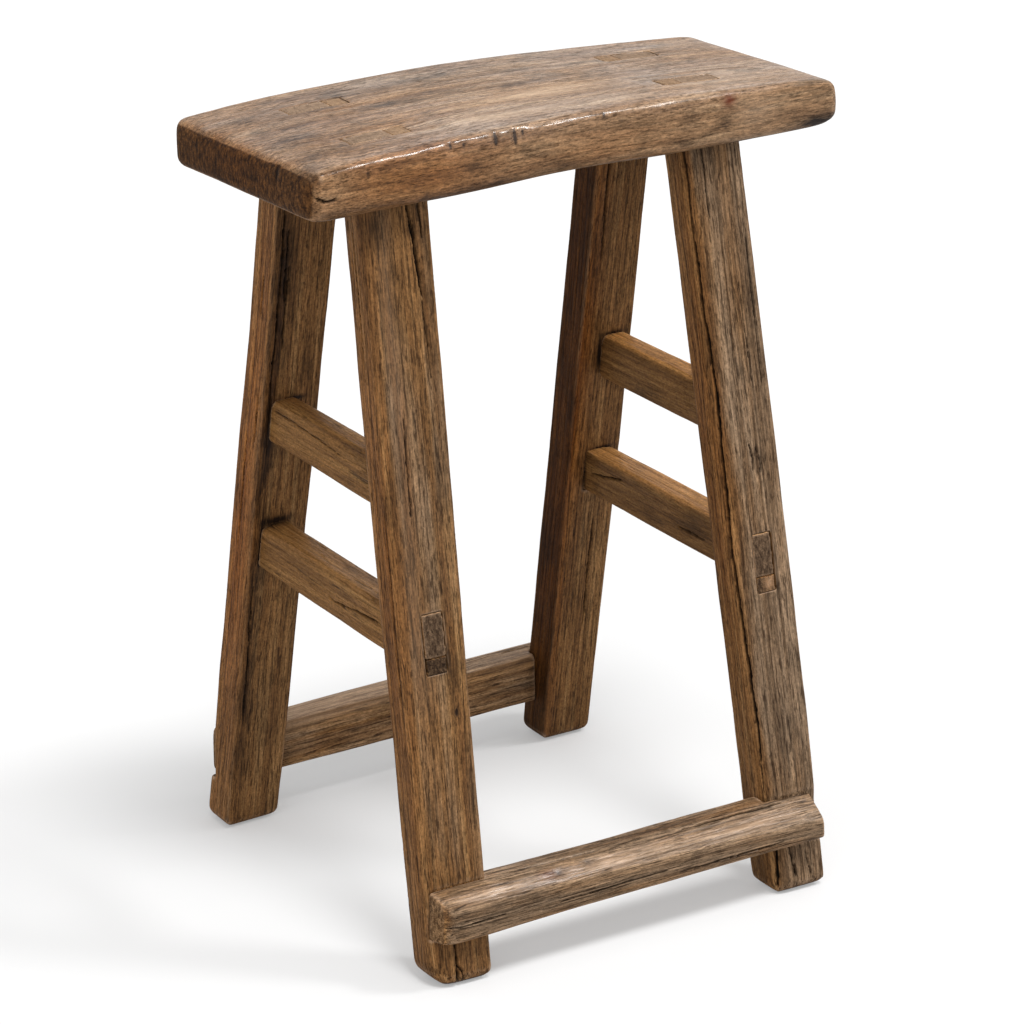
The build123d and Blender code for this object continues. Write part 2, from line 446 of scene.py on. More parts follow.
class WeatherTree:
    """The Geometry Nodes tree that wears, roughens and splits a piece of timber."""

    INPUTS = {
        "Arris Wear": 0.7, "Wear Reach": 8, "Unevenness": 0.7 * MM, "Grain Relief": 0.22 * MM,
        "Grain Width": 1.7 * MM, "Grain Length": 60 * MM, "Saw Relief": 0.25 * MM,
        "Split Depth": 3.4 * MM, "Hair Splits": 900.0, "Hair Gape": 0.8 * MM,
        "Hair Length": 26 * MM, "Seed": 1}
    HAIR_POINTS = 14
    LEAST_GAPE = 0.05 * MM

    def __init__(self) -> None:
        """Build the tree once for all the pieces."""
        self.tree = bpy.data.node_groups.new("weathered_timber", "GeometryNodeTree")
        self.identifiers: dict[str, str] = {}
        self._sockets()
        self._nodes()

    def _sockets(self) -> None:
        """Add the named inputs and the output."""
        interface = self.tree.interface
        interface.new_socket("Geometry", in_out="INPUT", socket_type="NodeSocketGeometry")
        kinds = {name: "Int" if isinstance(value, int) else "Float"
                 for name, value in self.INPUTS.items()}
        kinds |= {"Grain": "Vector", "Checks": "Object", "Finish": "Material"}
        for name, kind in kinds.items():
            socket = interface.new_socket(name, in_out="INPUT", socket_type="NodeSocket" + kind)
            if name in self.INPUTS:
                socket.default_value = self.INPUTS[name]
            self.identifiers[name] = socket.identifier
        interface.new_socket("Geometry", in_out="OUTPUT", socket_type="NodeSocketGeometry")

    def _nodes(self) -> None:
        """Write the tree."""
        g = Graph(self.tree)
        entry = g.node("NodeGroupInput").socket.node
        given = {s.name: Wire(g, s) for s in entry.outputs if s.name}
        grain = given["Grain"]

        # Worn arrises: places move towards their own blurred place, more here and less there
        place = g.node("GeometryNodeInputPosition")
        normal = g.node("GeometryNodeInputNormal")
        timber = g.named("timber", "FLOAT_VECTOR")
        blurred = g.node("GeometryNodeBlurAttribute", {"data_type": "FLOAT_VECTOR"},
                         {"Value": place, "Iterations": given["Wear Reach"]})
        bulge = g.dot(g.vector("SUBTRACT", place, blurred), normal)
        patchy = g.step(g.noise(timber, 14.0), 0.3, 0.7, 0.35, 1.25)
        loose = 1 - g.named("crisp")
        worn = g.math("MINIMUM", patchy * given["Arris Wear"], 1.0) * loose
        softer = g.node("ShaderNodeMix", {"data_type": "VECTOR"}, {
            "Factor_Float": worn, "A_Vector": place, "B_Vector": blurred}, "Result_Vector")
        rounded = g.node("GeometryNodeSetPosition", {}, {
            "Geometry": g.keep(given["Geometry"], "bulge", bulge), "Position": softer})

        # Long side grain stands in ridges, end grain keeps the marks of the saw
        end_grain = g.step(g.math("ABSOLUTE", g.dot(normal, grain)), 0.55, 0.9)
        pitches = (given["Grain Width"], given["Grain Width"], given["Grain Length"])
        side = g.node("ShaderNodeCombineXYZ", {}, {
            i: g.dot(timber, axis) / pitch
            for i, (axis, pitch) in enumerate(zip(np.eye(3).tolist(), pitches))})
        ridge = g.step(g.noise(side, 1.0, 2.0, 0.6), 0.42, 0.68)
        swell = (g.noise(place, 11.0, 1.0) - 0.5) * loose
        saw = g.grain(timber, (330.0, 90.0, 90.0), 1.0, 0.4, 0.3)
        relief = (swell * given["Unevenness"] * 2.0
                  - ridge * given["Grain Relief"] * (1 - end_grain)
                  - saw * given["Saw Relief"] * end_grain)

        # Splits: those listed one by one, and hair splits scattered over the side grain
        checks = g.node("GeometryNodeObjectInfo", {"transform_space": "ORIGINAL"},
                        {"Object": given["Checks"]}, "Geometry")
        nearest = g.node("GeometryNodeSampleNearest", {"domain": "POINT"}, {"Geometry": checks})
        gape = g.node("GeometryNodeSampleIndex", {"data_type": "FLOAT", "domain": "POINT"},
                      {"Geometry": checks, "Index": nearest, "Value": g.named("gape")})
        reach = g.distance(checks, "FACES") / g.math("MAXIMUM", gape, self.LEAST_GAPE)
        split = g.step(reach, 0.4, 1.15, 1.0, 0.0) * g.step(gape, self.LEAST_GAPE, 0.2 * MM)

        points = g.node("GeometryNodeDistributePointsOnFaces", {"distribute_method": "RANDOM"}, {
            "Mesh": rounded, "Selection": g.math("LESS_THAN", end_grain, 0.1),
            "Density": given["Hair Splits"], "Seed": given["Seed"]})
        line = g.node("GeometryNodeMeshLine", {"mode": "OFFSET"}, {
            "Count": self.HAIR_POINTS, "Offset": (0.0, 0.0, 1.0 / self.HAIR_POINTS)})
        turn = g.node("FunctionNodeAlignRotationToVector", {"axis": "Z"}, {"Vector": grain})
        size = g.node("FunctionNodeRandomValue", {"data_type": "FLOAT"}, {
            "Min_001": 0.3, "Max_001": 1.5, "Seed": given["Seed"]}, "Value_001")
        lines = g.node("GeometryNodeInstanceOnPoints", {}, {
            "Points": points, "Instance": line, "Rotation": turn,
            "Scale": size * given["Hair Length"]})
        lines = g.node("GeometryNodeRealizeInstances", {}, {"Geometry": lines})
        wander = g.noise(place, 45.0, 1.0, out="Color")
        wander = g.vector("SUBTRACT", wander, (0.5, 0.5, 0.5))
        wander = g.vector("MULTIPLY", wander, (5 * MM, 5 * MM, 5 * MM))
        lines = g.node("GeometryNodeSetPosition", {}, {"Geometry": lines, "Offset": wander})
        hair = g.step(g.distance(lines, "EDGES") / given["Hair Gape"], 0.2, 1.0, 1.0, 0.0)
        hair = hair * (1 - end_grain) * loose * g.math("GREATER_THAN", given["Hair Splits"], 0.0)

        sunk = relief - split * g.math("MINIMUM", gape * 4.0, given["Split Depth"]) \
            - hair * given["Hair Gape"] * 0.55
        marked = rounded
        marks = {"split": split, "hair": hair, "end_grain": end_grain, "ridge": ridge}
        for name, value in marks.items():
            marked = g.keep(marked, name, value)
        shaped = g.node("GeometryNodeSetPosition", {}, {
            "Geometry": marked, "Offset": g.vector("MULTIPLY", normal, sunk)})
        smooth = g.node("GeometryNodeSetShadeSmooth", {}, {"Geometry": shaped})
        real = g.node("GeometryNodeRealizeInstances", {}, {"Geometry": smooth})
        done = g.node("GeometryNodeSetMaterial", {}, {
            "Geometry": real, "Material": given["Finish"]})
        g.end("NodeGroupOutput", done, 0)


def cells(width: float, length: float) -> tuple:
    """The scale of a pattern with cells of that width across the grain and length along it."""
    return 1 / width, 1 / width, 1 / length


@dataclass(frozen=True)
class ElmFinish:
    """An old elm surface: worn colours, open pores, darkened hollows and polish where touched.

    Colours are 0-255 screen values. deep, middle and light are the warm timber, grey_deep and grey
    the weathered timber, and end_deep and end_light the sawn ends. dirt is grime and painted shadow
    in hollows, hair splits and the darkest marks, and crack the same inside a split.
    Widths and lengths are the cells of a pattern, in metres; depths and shares say how strongly it
    darkens, from 0 to 1.
    """

    name: str
    slot: str
    deep: tuple = (98, 64, 35)
    middle: tuple = (135, 96, 57)
    light: tuple = (170, 130, 85)
    grey_deep: tuple = (108, 84, 61)
    grey: tuple = (152, 126, 100)
    pore: tuple = (44, 28, 16)
    dirt_and_shade: tuple = (30, 19, 12)
    crack: tuple = (12, 8, 5)
    polish: tuple = (196, 162, 130)
    knot: tuple = (96, 44, 22)
    amber: tuple = (255, 216, 160)
    end_deep: tuple = (66, 44, 27)
    end_light: tuple = (118, 88, 58)
    ring_pitch: float = 3.1 * MM
    ring_depth: float = 0.32
    streak_width: float = 4.2 * MM
    streak_length: float = 170 * MM
    fibre_width: float = 0.95 * MM
    fibre_length: float = 26 * MM
    fibre_depth: float = 0.64
    pore_width: float = 0.72 * MM
    pore_length: float = 9 * MM
    pore_share: float = 0.68
    blotch_depth: float = 0.34
    roughness: float = 0.72
    least_roughness: float = 0.22
    most_roughness: float = 0.95
    rub: float = 0.4
    bump: float = 0.8
    bump_height: float = 0.5 * MM
    shine: float = 0.07
    polish_roughness: float = 0.3

    def material(self) -> bpy.types.Material:
        """Build the node material."""
        material = bpy.data.materials.new(self.name)
        g = Graph.of(material)
        timber = g.attribute("timber", 1)
        marks = {name: g.attribute(name) for name in (
            "age", "shade", "wax", "split", "hair", "end_grain", "bulge", "ridge",
            *(stain.value for stain in Stain))}

        # The figure sways along the timber
        sway = g.noise(g.vector("MULTIPLY", timber, (12.0, 12.0, 3.0)), 1.0, 1.0, out="Color")
        sway = g.vector("SUBTRACT", sway, (0.5, 0.5, 0.5))
        figure = g.vector("ADD", timber, g.vector("MULTIPLY", sway, (9 * MM, 9 * MM, 0.0)))
        across = g.dot(figure, (0.8, 0.6, 0.0))
        uneven = g.grain(figure, (120.0, 120.0, 5.0))
        ring = g.math("SINE", (across / self.ring_pitch + uneven * 1.7) * math.tau) * 0.5 + 0.5
        broken = g.grain(figure, (300.0, 300.0, 14.0))
        early = g.step(ring, 0.55, 0.98) * g.step(broken, 0.38, 0.58, 0.15, 1.0)
        streak = g.grain(figure, cells(self.streak_width, self.streak_length), 4.0, 0.62)
        fibre = g.grain(figure, cells(self.fibre_width, self.fibre_length), 3.0, 0.7)
        pores = g.grain(figure, cells(self.pore_width, self.pore_length), 2.0, 0.55)
        open_pore = g.step(pores - early * 0.05, 0.43, 0.36)
        patch = g.grain(timber, (19.0, 19.0, 7.0), 3.0, 0.6, 0.3)
        blotch = g.grain(timber, (60.0, 60.0, 24.0), 4.0, 0.65, 0.4)
        speck = g.grain(timber, (760.0, 760.0, 430.0), 3.0, 0.75)

        # Warm timber under a weathered skin
        warm = g.node("ShaderNodeValToRGB", {"stops": (
            (0.24, srgb(*self.deep)), (0.50, srgb(*self.middle)), (0.78, srgb(*self.light)))},
            {0: streak}, "Color")
        cool = g.blend(g.step(streak, 0.3, 0.7), srgb(*self.grey_deep), srgb(*self.grey))
        weathered = g.step(patch * 0.55 + uneven * 0.35 + marks["age"] - 0.5, 0.32, 0.62)
        colour = g.blend(weathered, warm, cool)

        # Sawn ends show a coarse dark texture instead
        saw = g.grain(timber, (520.0, 190.0, 420.0), 3.0, 0.65, 0.2)
        ends = g.blend(g.step(saw, 0.36, 0.66), srgb(*self.end_deep), srgb(*self.end_light))
        ended = g.step(marks["end_grain"] + (blotch - 0.5) * 0.7, 0.3, 0.75)
        colour = g.blend(ended, colour, ends)

        # Light and dark of the fibres, rings, specks and old grime, then the light and shadow
        # painted on each face
        level = (g.step(fibre, 0.3, 0.7, 1 - self.fibre_depth * 0.55, 1 + self.fibre_depth * 0.5)
                 * g.step(speck, 0.3, 0.7, 0.70, 1.28)
                 * (1 - early * self.ring_depth * (1 - ended))
                 * (1 - g.step(blotch, 0.5, 0.3) * self.blotch_depth)
                 * (1 - marks["ridge"] * 0.12)
                 * (1 - marks["shade"] * g.step(blotch, 0.2, 0.8, 1.1, 0.85)))
        colour = g.blend(1.0, colour, level, "MULTIPLY")
        colour = g.blend(open_pore * self.pore_share * (1 - ended * 0.7), colour,
                         srgb(*self.pore))

        # Rubbed arrises, stains, and hollows and splits darkened with grime and painted shadow
        rubbed = g.step(marks["bulge"] + (streak - 0.5) * 0.5 * MM, 0.16 * MM, 0.8 * MM) \
            * (1 - ended * 0.6)
        hollow_shade_and_dirt = g.step(marks["bulge"], -0.1 * MM, -0.6 * MM)
        pale = g.math("MINIMUM", marks["pale"] * g.step(streak, 0.3, 0.7, 0.55, 1.15), 1.0)
        # The darkest marks: grime, and painted shadow at joints and under the seat
        smudge = marks["smudge"] * g.step(blotch, 0.35, 0.65, 1.15, 0.6) \
            * g.step(fibre, 0.3, 0.7, 1.15, 0.75)
        colour = g.blend(marks["amber"], colour, srgb(*self.amber), "MULTIPLY")
        for amount, over in (
                (rubbed * self.rub * (1 - open_pore * 0.6), self.polish),
                (pale, self.polish),
                (g.math("MINIMUM", smudge, 1.0), self.dirt_and_shade),
                (marks["knot"], self.knot),
                # Hollows and splits darkened: painted shadow in them, as well as grime
                (hollow_shade_and_dirt * 0.8, self.dirt_and_shade),
                (marks["hair"] * 0.8, self.dirt_and_shade),
                (marks["split"], self.crack)):
            colour = g.blend(amount, colour, srgb(*over))

        rough = self.roughness + open_pore * 0.12 - rubbed * 0.1 + ended * 0.08 \
            + (speck - 0.5) * 0.1
        rough = g.math("MINIMUM", g.math("MAXIMUM", rough, self.least_roughness),
                       self.most_roughness)
        wax = (marks["wax"] * g.step(patch, 0.3, 0.7, 0.55, 1.1) + rubbed * marks["wax"] * 0.7) \
            * (1 - open_pore * 0.6) * (1 - ended * 0.7) * (1 - marks["split"]) \
            * g.step(fibre, 0.3, 0.7, 0.6, 1.1)
        buffed = marks["waxed"] * g.step(blotch, 0.35, 0.6, 0.35, 1.0) \
            * g.step(fibre, 0.35, 0.65, 0.3, 1.2) * (1 - open_pore * 0.8)
        height = fibre * 0.7 + speck * 0.45 - open_pore * 0.9 - early * 0.35 + saw * ended * 0.8
        bump = g.node("ShaderNodeBump", {}, {
            "Strength": self.bump, "Distance": self.bump_height, "Height": height}, "Normal")
        g.end("ShaderNodeOutputMaterial", g.node("ShaderNodeBsdfPrincipled", {}, {
            "Base Color": colour, "Roughness": rough, "Normal": bump,
            "Coat Weight": g.math("MINIMUM", wax + buffed, 1.0),
            "Coat Roughness": self.polish_roughness, "Specular IOR Level": self.shine}, "BSDF"))
        return material


@dataclass
class Timber:
    """One piece of the stool: a CAD node, its grain, its wear and its finish.

    Args:
        node: The CAD node that it stands for.
        along: The CAD axis of its grain.
        finish: Its finish.
        voxel, squeeze: The size of its mesh's cells, and how much longer they are along the grain.
        wear, reach: How far its arrises are worn, and how wide.
        unevenness, relief: How far its faces swell, and how deep the grain stands, in metres.
        hair_splits: How many hair splits start on a square metre.
        age, shade, wax: How weathered, dark and polished each face is, from 0 to 1; None is for the
        other faces. The dark is painted shadow as well as the face's own tone, and a shade under 0
        is painted light.
        pushes: How far a face stands out from its even place, in millimetres, at even steps along
            the grain.
        shaves: What was cut off its edges.
        dents, checks: Rows for its dents and its splits, by face.
        marks: Rows for its stains and painted shadows, by stain.
    """

    WELD = 0.005 * MM
    SPLIT_STEP = 2.5 * MM
    SPLIT_WOBBLE = 0.14 * MM
    SPLIT_WINDOW = (2 * MM, 3 * MM)
    BLADE = 4 * MM
    FAR = -5.0
    DENT_FALL = 1.5
    MARK_FALL = 1.4
    MOST_STAIN = 1.8
    NEXT_PIECE = (0.013, 0.0, 0.71)
    BASES = {"age": 0.25, "shade": 0.0, "wax": 0.1}

    node: str
    along: Along
    finish: ElmFinish
    voxel: float = 0.68 * MM
    squeeze: float = 0.4
    wear: float = 0.7
    reach: int = 13
    unevenness: float = 0.7 * MM
    relief: float = 0.22 * MM
    hair_splits: float = 900.0
    seed: int = 1
    age: dict = field(default_factory=dict)
    shade: dict = field(default_factory=dict)
    wax: dict = field(default_factory=dict)
    pushes: dict = field(default_factory=dict)
    shaves: tuple = ()
    dents: dict = field(default_factory=dict)
    checks: dict = field(default_factory=dict)
    marks: dict = field(default_factory=dict)

    def blank(self) -> bpy.types.Object:
        """A dense closed copy of the CAD node, finer across the grain than along it."""
        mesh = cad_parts[self.node].data.copy()
        mesh.materials.clear()
        piece = add_object(f"{self.node}_timber", mesh)
        piece.modifiers.new("weld", "WELD").merge_threshold = self.WELD
        self._bake(piece)
        squeeze = np.ones(3)
        squeeze[self.along.value] = self.squeeze
        write_places(piece, read_places(piece) * squeeze)
        remesh = piece.modifiers.new("remesh", "REMESH")
        remesh.mode = "VOXEL"
        remesh.voxel_size = self.voxel
        self._bake(piece)
        write_places(piece, read_places(piece) / squeeze)
        return piece

    @staticmethod
    def _bake(piece: bpy.types.Object) -> None:
        """Turn the evaluated piece into its plain mesh and drop the modifiers."""
        depsgraph = bpy.context.evaluated_depsgraph_get()
        fresh = bpy.data.meshes.new_from_object(piece.evaluated_get(depsgraph), depsgraph=depsgraph)
        old = piece.data
        piece.modifiers.clear()
        piece.data = fresh
        bpy.data.meshes.remove(old)

    @property
    def cross_axes(self) -> tuple:
        """The two CAD axes across the grain."""
        return tuple(axis for axis in (0, 1, 2) if axis != self.along.value)

    def axis_line(self, places: np.ndarray) -> tuple:
        """The straight line through the middle of the piece.

        Args:
            places: The piece's points, one per row.

        Returns:
            The slope and the start of each cross axis against the grain axis.
        """
        along = places[:, self.along.value]
        return tuple(np.polyfit(along, places[:, axis], 1) for axis in self.cross_axes)

    def local_places(self, places: np.ndarray, lines: tuple | None = None) -> np.ndarray:
        """Places as two distances across the grain, from the middle line, and one along it."""
        lines = lines or self.axis_line(places)
        along = places[:, self.along.value]
        across = [places[:, axis] - np.polyval(line, along)
                  for axis, line in zip(self.cross_axes, lines)]
        return np.stack([across[0], across[1], along], axis=1)

    def check_blades(self, places: np.ndarray, lines: tuple) -> bpy.types.Object:
        """The listed splits as blades into the wood.

        Args:
            places: The piece's points, one per row.
            lines: Its middle line.

        Returns:
            The blades, with a gape at each point, and a triangle far off that is always there.
        """
        local = self.local_places(places, lines)
        draw = np.random.default_rng(self.seed)
        points = [(0.0, 0.0, self.FAR), (MM, 0.0, self.FAR), (0.0, MM, self.FAR)]
        blades, gapes = [(0, 1, 2)], [0.0, 0.0, 0.0]
        for check in listed(Check, self.checks):
            path = np.array(check.path, float) * MM
            count = max(4, int(abs(path[-1, 1] - path[0, 1]) / self.SPLIT_STEP))
            share = np.linspace(0, 1, count)
            along = path[0, 1] + (path[-1, 1] - path[0, 1]) * share
            order = np.argsort(path[:, 1])
            wobble = np.cumsum(draw.normal(0, self.SPLIT_WOBBLE, count))
            wobble -= wobble[0] + (wobble[-1] - wobble[0]) * share
            across = np.interp(along, path[order, 1], path[order, 0]) + wobble
            deep, sign = check.face.axis, check.face.outward.sum()
            column = self.cross_axes.index(deep)
            side = 1 - column
            row = np.zeros((count, 3))
            row[:, self.along.value] = along
            row[:, self.cross_axes[side]] = across + np.polyval(lines[side], along)
            for i in range(count):
                near = np.abs(local[:, 2] - along[i]) < self.SPLIT_WINDOW[1]
                near &= np.abs(local[:, side] - across[i]) < self.SPLIT_WINDOW[0]
                reach = (local[near, column] * sign).max() if near.any() else 0.0
                row[i, deep] = reach * sign + np.polyval(lines[column], along[i])
            inner = row.copy()
            row[:, deep] += sign * MM
            inner[:, deep] -= sign * self.BLADE
            first = len(points)
            points += [tuple(p) for p in row] + [tuple(p) for p in inner]
            blades += [(first + i, first + i + 1, first + count + i + 1, first + count + i)
                       for i in range(count - 1)]
            taper = np.clip(np.minimum(share, 1 - share) * 6, 0, 1) ** 0.6
            taper = np.where(share < 0.5, np.maximum(taper, 0.75), taper)
            rough = 1 + 0.18 * draw.normal(0, 1, count)
            gapes += list(check.gape / 2 * MM * taper * np.clip(rough, 0.6, 1.4)) * 2
        mesh = bpy.data.meshes.new("checks")
        mesh.from_pydata(points, [], blades)
        mesh.attributes.new("gape", "FLOAT", "POINT").data.foreach_set("value", gapes)
        return add_object("checks", mesh)

    def carve(self, places: np.ndarray) -> np.ndarray:
        """Cut the worn planes and press the dents."""
        for cut in self.shaves:
            outward = np.array(cut.outward, float)
            outward /= np.linalg.norm(outward)
            height = (places - np.array(cut.origin)) @ outward
            excess = cut.soft * np.logaddexp(0, height / cut.soft)
            along = places[:, self.along.value]
            inside = np.minimum(along - cut.start, cut.end - along) / cut.fade
            places = places - (excess * ease(inside, 0, 1))[:, None] * outward
        local = self.local_places(places)
        for dent in listed(Dent, self.dents):
            pit = dent.depth * MM * self.near(local, dent, self.DENT_FALL)
            places = places - pit[:, None] * dent.face.outward
        return places

    @staticmethod
    def near(local: np.ndarray, spot: Mark | Dent, fall: float) -> np.ndarray:
        """How near each point is to the middle of a mark or dent, from 0 to 1."""
        away = (local / MM - np.array(spot.place)) / np.array(spot.size)
        return np.exp(-(away ** 2).sum(axis=1) * fall)

    def body(self, places: np.ndarray) -> np.ndarray:
        """How far each point belongs to the body of the piece and not to a joint, from 0 to 1."""
        return np.ones(len(places))

    def crisp(self, places: np.ndarray) -> np.ndarray:
        """Where a joint has kept its sharp edges, from 0 to 1."""
        return np.zeros(len(places))

    def push(self, places: np.ndarray) -> np.ndarray:
        """Move each face out or in as the hand-cut piece has it."""
        if not self.pushes:
            return places
        local = self.local_places(places)
        body = self.body(places)
        inside = local[body > 0.5]
        first, last = inside[:, 2].min(), inside[:, 2].max()
        moved = places.copy()
        for face, amounts in self.pushes.items():
            column = self.cross_axes.index(face.axis)
            side = local[:, column] * face.outward.sum()
            half = np.percentile(np.abs(inside[:, column]), 97)
            share = np.clip(0.5 + side / half / 2, 0, 1)
            steps = np.linspace(first, last, len(amounts))
            amount = np.interp(local[:, 2], steps, amounts) * MM
            moved += (share * amount * body)[:, None] * face.outward
        return moved

    def fit(self, places: np.ndarray) -> np.ndarray:
        """Move the finished piece to where the hand-built stool has it."""
        return HandBuilt().move_frame(self.push(places))

    def stained(self, local: np.ndarray, stain: Stain) -> np.ndarray:
        """How strong one kind of mark is at each point; the darkest kind also lies in the dents."""
        total = np.zeros(len(local))
        for mark in listed(Mark, self.marks):
            if mark.stain is stain:
                total += mark.strength * self.near(local, mark, self.MARK_FALL)
        if stain is SMUDGE:
            for dent in listed(Dent, self.dents):
                dirt_and_shade = dent.dirt_and_shade * self.near(local, dent, self.MARK_FALL)
                total = np.maximum(total, dirt_and_shade)
        return np.clip(total, 0, self.MOST_STAIN)

    @staticmethod
    def by_face(normals: np.ndarray, faces: dict, base: float) -> np.ndarray:
        """A value for each point, from the faces that it looks towards."""
        base = faces.get(None, base)
        total = np.zeros(len(normals))
        weight = np.full(len(normals), 1e-6)
        for face in Face:
            facing = np.clip(normals @ face.outward, 0, 1) ** 3
            total += facing * faces.get(face, base)
            weight += facing
        return total / weight

    def weather(self, piece: bpy.types.Object, tree: WeatherTree, values: dict) -> None:
        """Run the weathering tree over the piece, with these inputs besides its own."""
        modifier = piece.modifiers.new("weather", "NODES")
        modifier.node_group = tree.tree
        values = {
            "Arris Wear": self.wear, "Wear Reach": self.reach, "Unevenness": self.unevenness,
            "Grain Relief": self.relief, "Hair Splits": self.hair_splits, "Seed": self.seed,
            **values}
        for name, value in values.items():
            modifier[tree.identifiers[name]] = value
        piece.update_tag()
        self._bake(piece)

    def build(self, tree: WeatherTree, material: bpy.types.Material) -> bpy.types.Object:
        """Make the piece, dress it and put it on the frame.

        Args:
            tree: The weathering tree.
            material: The finish, already built.

        Returns:
            The finished piece.
        """
        piece = self.blank()
        places = self.carve(read_places(piece))
        write_places(piece, places)
        normals = read_rows(piece.data.vertex_normals, "vector")
        lines = self.axis_line(places)
        local = self.local_places(places, lines)
        for stain in Stain:
            store(piece, stain.value, self.stained(local, stain))
        store(piece, "timber", local + self.seed * np.array(self.NEXT_PIECE))
        for name, base in self.BASES.items():
            store(piece, name, self.by_face(normals, getattr(self, name), base))
        store(piece, "crisp", self.crisp(places))
        checks = self.check_blades(places, lines)
        direction = np.zeros(3)
        direction[self.along.value] = 1
        for axis, line in zip(self.cross_axes, lines):
            direction[axis] = line[0]
        direction /= np.linalg.norm(direction)
        self.weather(piece, tree, {
            "Grain": tuple(direction), "Checks": checks, "Finish": material})
        bpy.data.objects.remove(checks)
        write_places(piece, self.fit(read_places(piece)))
        piece.name = self.node + "_aged"
        piece.data.name = piece.name
        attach(piece, "root")
        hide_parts(self.node)
        LOG.info("%s: %d faces", piece.name, len(piece.data.polygons))
        return piece


@dataclass
class Seat(Timber):
    """The crowned slab. Its outline is askew, and only its mortises follow the legs.

    The real outline is written as places, in metres, at even steps: the x of each end from front
    to back, and the y of each long side from left to right.
    """

    left_end: tuple = (-0.190, -0.195)
    right_end: tuple = (0.2115, 0.2075)
    front_side: tuple = (-0.0885, -0.0800, -0.0735)
    back_side: tuple = (0.0800, 0.0825, 0.0795)
    end_band: float = 0.140
    side_band: float = 0.046
    crown_half: float = 0.185
    arch_half: float = 0.098
    crown_lift: float = 1.5 * MM
    tip_lift: float = 1.4 * MM
    sole_arch: float = 2.0 * MM
    tip_band: tuple = (0.10, 0.20)
    mortise_centre: tuple = (0.1130, 0.0386)
    mouth_x: tuple = (0.032, 0.028)
    mouth_y: tuple = (0.017, 0.013)

    def crisp(self, places: np.ndarray) -> np.ndarray:
        """The mortises keep sharp edges."""
        away_x, away_y = (np.abs(np.abs(places[:, i]) - self.mortise_centre[i]) for i in (0, 1))
        return ease(away_x, *self.mouth_x) * ease(away_y, *self.mouth_y)

    def fit(self, places: np.ndarray) -> np.ndarray:
        """Set the slab's own outline, and move its mortises with the legs."""
        x, y, z = places.T
        low, high = (Vector(v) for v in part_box("seat"))
        lefts = np.interp(y, (low.y, high.y), self.left_end) - low.x
        rights = np.interp(y, (low.y, high.y), self.right_end) - high.x
        thirds = (low.x, (low.x + high.x) / 2, high.x)
        fronts = np.interp(x, thirds, self.front_side) - low.y
        backs = np.interp(x, thirds, self.back_side) - high.y
        moved = places.copy()
        moved[:, 0] += lefts * ease(x, -self.end_band, low.x) \
            + rights * ease(x, self.end_band, high.x)
        moved[:, 1] += fronts * ease(y, -self.side_band, low.y) \
            + backs * ease(y, self.side_band, high.y)
        up = np.clip((z - low.z) / (high.z - low.z), 0, 1)
        crown = np.clip(1 - (x / self.crown_half) ** 2, 0, 1)
        arch = ease(np.abs(x), self.arch_half, 0.0)
        tip = ease(x, *self.tip_band)
        moved[:, 2] += up * (crown * self.crown_lift + tip * self.tip_lift) \
            + (1 - up) * arch * self.sole_arch
        return HandBuilt().move_seat(places) + moved - places


@dataclass
class Leg(Timber):
    """A splayed leg, with its tenon through the seat and a mortise for the lower end rail."""

    mortise_height: float = 0.218
    mouth_height: tuple = (0.034, 0.028)
    mouth_width: tuple = (0.0135, 0.0105)

    def fit(self, places: np.ndarray) -> np.ndarray:
        """Raise the tenon, then move the leg."""
        return super().fit(raise_tenons(places))

    def body(self, places: np.ndarray) -> np.ndarray:
        """Everything under the seat."""
        return ease(places[:, 2], SEAT_UNDERSIDE + 3 * MM, SEAT_UNDERSIDE)

    def crisp(self, places: np.ndarray) -> np.ndarray:
        """The tenon, and the mouth of the mortise below."""
        tenon = ease(places[:, 2], SEAT_UNDERSIDE - 4 * MM, SEAT_UNDERSIDE)
        across = np.abs(self.local_places(places)[:, 0])
        mouth = ease(np.abs(places[:, 2] - self.mortise_height), *self.mouth_height)
        return np.maximum(tenon, mouth * ease(across, *self.mouth_width))


@dataclass
class EndRail(Timber):
    """A rail between a front leg and the leg behind it."""

    shoulder_foot: float = 0.12875
    shoulder_top: float = 0.038
    shoulder_band: tuple = (2.5 * MM, 0.8 * MM)

    def body(self, places: np.ndarray) -> np.ndarray:
        """The stretch between the legs."""
        rise = places[:, 2] / SEAT_UNDERSIDE
        shoulder = self.shoulder_foot * (1 - rise) + self.shoulder_top * rise
        return ease(np.abs(places[:, 1]) - shoulder, *self.shoulder_band)

    def crisp(self, places: np.ndarray) -> np.ndarray:
        """The tenons."""
        return 1 - self.body(places)


@dataclass
class LongRail(Timber):
    """A rail lapped over the outer faces of two legs, whose ends slide along to their real places.

    slides says how far the left and the right end go, and cheek where they start to.
    """

    slides: tuple = (0.0, 0.0)
    cheek: tuple = (0.118, 0.145)

    def fit(self, places: np.ndarray) -> np.ndarray:
        """Move the ends, then the whole rail with the legs."""
        left, right = self.slides
        inner, outer = self.cheek
        x = places[:, 0]
        moved = places.copy()
        moved[:, 0] += left * ease(x, -inner, -outer) + right * ease(x, inner, outer)
        return super().fit(places) + moved - places


@dataclass
class Wedge(Timber):
    """A small sharp wedge."""

    sharpness: float = 0.8

    def fit(self, places: np.ndarray) -> np.ndarray:
        """A seat wedge comes up with its tenon."""
        return super().fit(raise_tenons(places))

    def crisp(self, places: np.ndarray) -> np.ndarray:
        """The whole wedge, a little worn."""
        return np.full(len(places), self.sharpness)


